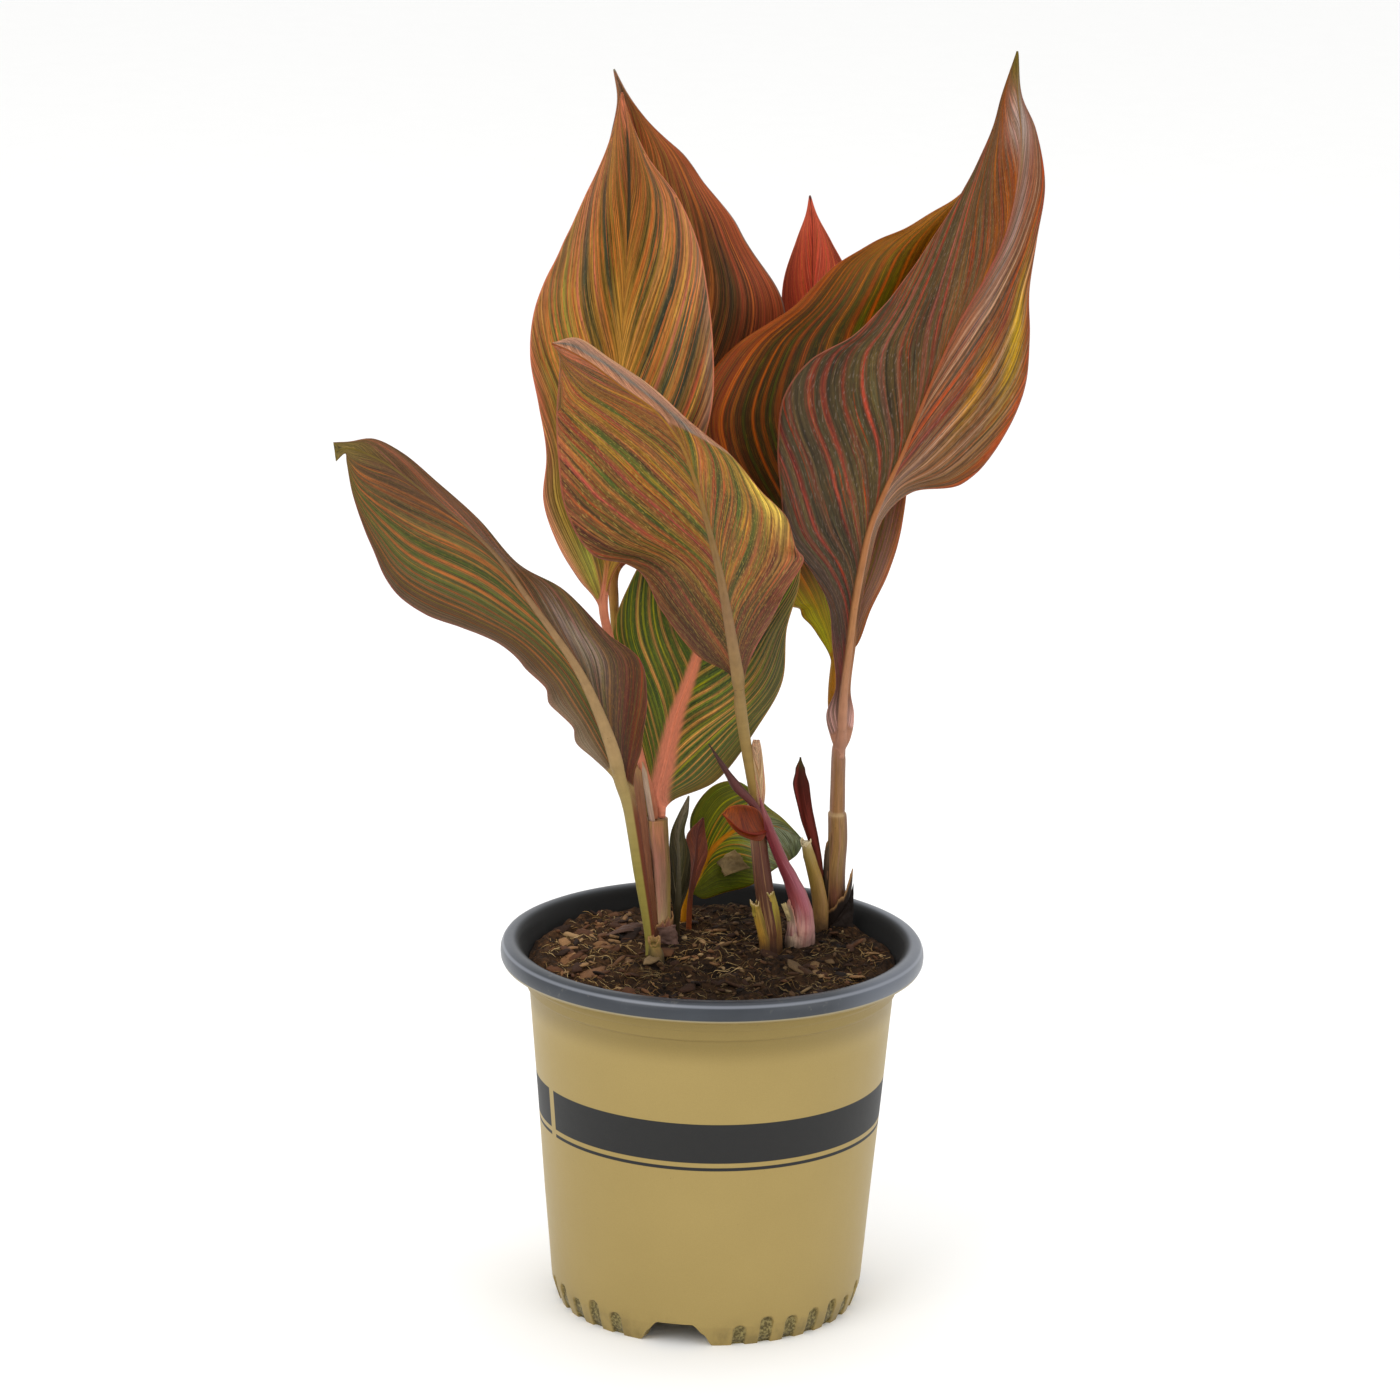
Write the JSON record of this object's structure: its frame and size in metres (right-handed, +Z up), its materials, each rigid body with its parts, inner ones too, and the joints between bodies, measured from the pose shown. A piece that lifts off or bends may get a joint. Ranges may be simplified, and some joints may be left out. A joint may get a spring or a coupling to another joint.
{
  "type": "potted canna lily plant",
  "caption": "Young canna lily with upright, striped bronze-green leaves on short sheathed stems, growing in a round black nursery pot with a plain gold outside.",
  "frame": {"origin": "middle of the bounding box's foot, on the surface that the pot stands on; the pot's axis is at x = 13.2 mm, y = 0", "axes": "+Z up along the pot's axis, -Y towards the front view, +X to the right in it"},
  "size_m": [0.2698, 0.17, 0.5172],
  "materials": {
    "pot_gold": "satin",
    "compost": "matte",
    "stem_sheath": "satin",
    "leaf_orange": "satin",
    "leaf_rust": "satin",
    "leaf_bronze": "satin",
    "leaf_purple": "satin",
    "leaf_olive": "satin",
    "leaf_green": "satin",
    "leaf_young": "satin",
    "leaf_grey": "satin",
    "shoot_pink": "satin",
    "shoot_wine": "satin",
    "shoot_yellow": "satin"
  },
  "bodies": {
    "root": {"pot": "pot_gold", "soil": "compost", "stem_left": "stem_sheath", "stem_centre": "stem_sheath", "stem_right": "stem_sheath", "leaf_left_tall": "leaf_orange", "leaf_left_back": "leaf_rust", "leaf_front": "leaf_bronze", "leaf_right_tall": "leaf_purple", "leaf_right_back": "leaf_olive", "leaf_green": "leaf_green", "leaf_low_left": "leaf_bronze", "leaf_young": "leaf_young", "leaf_low_back": "leaf_green", "leaf_small_grey": "leaf_grey", "leaf_small_red": "shoot_wine", "shoot_pink": "shoot_pink", "spear_purple": "shoot_wine", "stub_yellow": "shoot_yellow", "stub_front": "shoot_yellow"}
  },
  "joints": []
}
